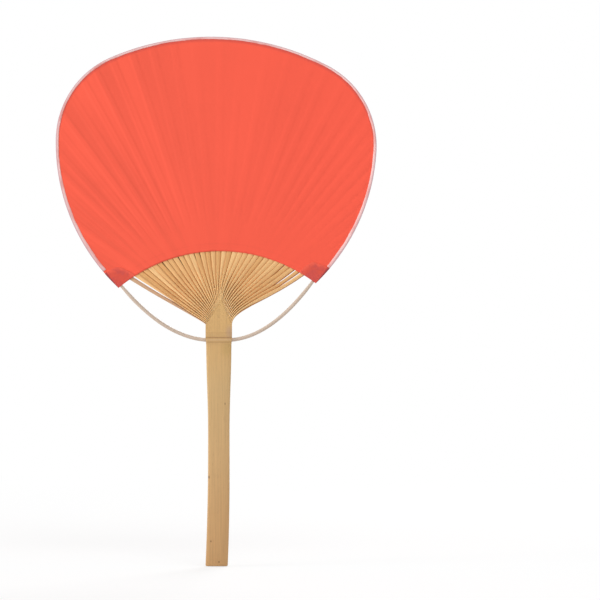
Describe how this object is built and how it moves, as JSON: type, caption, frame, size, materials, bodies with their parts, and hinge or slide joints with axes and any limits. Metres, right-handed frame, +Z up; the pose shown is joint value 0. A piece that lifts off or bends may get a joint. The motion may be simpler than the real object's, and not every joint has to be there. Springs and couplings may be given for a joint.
{
  "type": "round paper hand fan",
  "caption": "Round flat hand fan: a bamboo handle split into fanned ribs, with a paper leaf on both faces, a bent bow rod and a taped rim. Waved by hand to move air.",
  "frame": {"origin": "On the flat end face of the handle (the butt), straight below the middle of the split line at the neck. The butt itself leans 1.6 mm to the left of that line.", "axes": "+Z runs up the handle to the top of the leaf, +X is to the right as the front is seen, and the front of the leaf looks towards -Y, so +Y is the back."},
  "size_m": [0.234, 0.0049, 0.386],
  "materials": {
    "handle_bamboo": "planed bamboo, satin",
    "rib_bamboo": "split bamboo, matt",
    "bow_rod": "round bamboo rod, matt",
    "thread": "cotton thread",
    "leaf_paper": "coated coral paper, matt",
    "ear_paper": "coral paper, matt",
    "rim_paper": "thin pale paper tape"
  },
  "bodies": {
    "root": {"handle": "handle_bamboo", "rib_01": "rib_bamboo", "rib_02": "rib_bamboo", "rib_03": "rib_bamboo", "rib_04": "rib_bamboo", "rib_05": "rib_bamboo", "rib_06": "rib_bamboo", "rib_07": "rib_bamboo", "rib_08": "rib_bamboo", "rib_09": "rib_bamboo", "rib_10": "rib_bamboo", "rib_11": "rib_bamboo", "rib_12": "rib_bamboo", "rib_13": "rib_bamboo", "rib_14": "rib_bamboo", "rib_15": "rib_bamboo", "rib_16": "rib_bamboo", "rib_17": "rib_bamboo", "rib_18": "rib_bamboo", "rib_19": "rib_bamboo", "rib_20": "rib_bamboo", "rib_21": "rib_bamboo", "rib_22": "rib_bamboo", "rib_23": "rib_bamboo", "rib_24": "rib_bamboo", "rib_25": "rib_bamboo", "rib_26": "rib_bamboo", "rib_27": "rib_bamboo", "rib_28": "rib_bamboo", "rib_29": "rib_bamboo", "rib_30": "rib_bamboo", "rib_31": "rib_bamboo", "rib_32": "rib_bamboo", "rib_33": "rib_bamboo", "rib_34": "rib_bamboo", "bow": "bow_rod", "weaving_thread": "thread", "front_leaf": "leaf_paper", "rear_leaf": "leaf_paper", "rim_tape": "rim_paper", "left_ear_patch": "ear_paper", "right_ear_patch": "ear_paper"}
  },
  "joints": []
}
